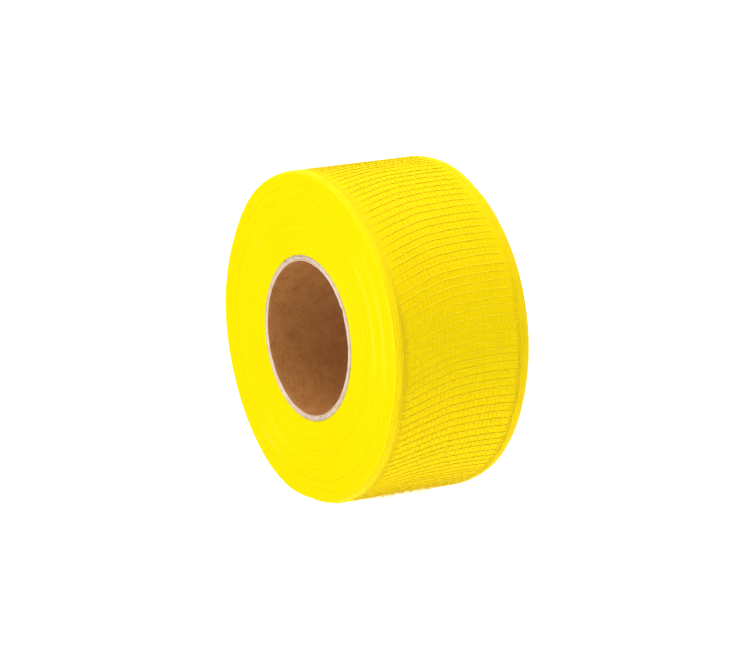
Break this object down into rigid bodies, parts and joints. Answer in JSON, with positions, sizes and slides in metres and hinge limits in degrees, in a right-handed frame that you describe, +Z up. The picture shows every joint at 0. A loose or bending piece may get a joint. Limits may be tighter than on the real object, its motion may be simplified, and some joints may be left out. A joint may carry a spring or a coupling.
{
  "type": "grip tape roll",
  "caption": "Roll of open-weave gauze grip tape wound on a spiral paper core, with a free end that peels off the rim.",
  "frame": {"origin": "centre of the roll: on the core's axis, half way between its two ends", "axes": "+Y along the core's axis, away from the near side; +Z up as the roll stands on its rim; the free end of the tape comes over the top, down the +X side and stops just before the bottom"},
  "size_m": [0.0543, 0.026, 0.054],
  "materials": {
    "kraft_liner": "matte",
    "chipboard": "matte",
    "grey_board": "matte",
    "gauze_cloth": "matte",
    "gauze_wound_side": "matte"
  },
  "bodies": {
    "root": {"core_liner_ply": "kraft_liner", "core_body_ply_inner": "chipboard", "core_body_ply_outer": "chipboard", "core_outer_ply": "grey_board", "tape_first_lap": "gauze_cloth", "tape_pack": "gauze_wound_side", "tape_last_lap": "gauze_cloth"},
    "tail_01": {"tape_tail_01": "gauze_cloth"},
    "tail_02": {"tape_tail_02": "gauze_cloth"},
    "tail_03": {"tape_tail_03": "gauze_cloth"},
    "tail_04": {"tape_tail_04": "gauze_cloth"},
    "tail_05": {"tape_tail_05": "gauze_cloth"},
    "tail_06": {"tape_tail_06": "gauze_cloth"},
    "tail_07": {"tape_tail_07": "gauze_cloth"},
    "tail_08": {"tape_tail_08": "gauze_cloth"},
    "tail_09": {"tape_tail_09": "gauze_cloth"}
  },
  "joints": [
    {"name": "tail_lift", "type": "hinge", "parent": "root", "child": "tail_01", "pos_m": [0.02659, 0, 0.0059], "axis": [0, -1, 0], "range_deg": [0, 90]},
    {"name": "tail_uncurl", "type": "hinge", "parent": "tail_01", "child": "tail_02", "pos_m": [0.02722, 0, 0.00119], "axis": [0, -1, 0], "range_deg": [0, 20]},
    {"name": "tail_uncurl_03", "type": "hinge", "parent": "tail_02", "child": "tail_03", "pos_m": [0.02702, 0, -0.00356], "axis": [0, -1, 0], "range_deg": [0, 20]},
    {"name": "tail_uncurl_04", "type": "hinge", "parent": "tail_03", "child": "tail_04", "pos_m": [0.026, 0, -0.0082], "axis": [0, -1, 0], "range_deg": [0, 20]},
    {"name": "tail_uncurl_05", "type": "hinge", "parent": "tail_04", "child": "tail_05", "pos_m": [0.02418, 0, -0.01259], "axis": [0, -1, 0], "range_deg": [0, 20]},
    {"name": "tail_uncurl_06", "type": "hinge", "parent": "tail_05", "child": "tail_06", "pos_m": [0.02164, 0, -0.0166], "axis": [0, -1, 0], "range_deg": [0, 20]},
    {"name": "tail_uncurl_07", "type": "hinge", "parent": "tail_06", "child": "tail_07", "pos_m": [0.01843, 0, -0.02011], "axis": [0, -1, 0], "range_deg": [0, 20]},
    {"name": "tail_uncurl_08", "type": "hinge", "parent": "tail_07", "child": "tail_08", "pos_m": [0.01466, 0, -0.02301], "axis": [0, -1, 0], "range_deg": [0, 20]},
    {"name": "tail_uncurl_09", "type": "hinge", "parent": "tail_08", "child": "tail_09", "pos_m": [0.01044, 0, -0.02522], "axis": [0, -1, 0], "range_deg": [0, 20]}
  ],
  "couplings": [
    {"joint": "tail_uncurl_03", "follows": "tail_uncurl", "ratio": 1},
    {"joint": "tail_uncurl_04", "follows": "tail_uncurl", "ratio": 1},
    {"joint": "tail_uncurl_05", "follows": "tail_uncurl", "ratio": 1},
    {"joint": "tail_uncurl_06", "follows": "tail_uncurl", "ratio": 1},
    {"joint": "tail_uncurl_07", "follows": "tail_uncurl", "ratio": 1},
    {"joint": "tail_uncurl_08", "follows": "tail_uncurl", "ratio": 1},
    {"joint": "tail_uncurl_09", "follows": "tail_uncurl", "ratio": 1}
  ]
}
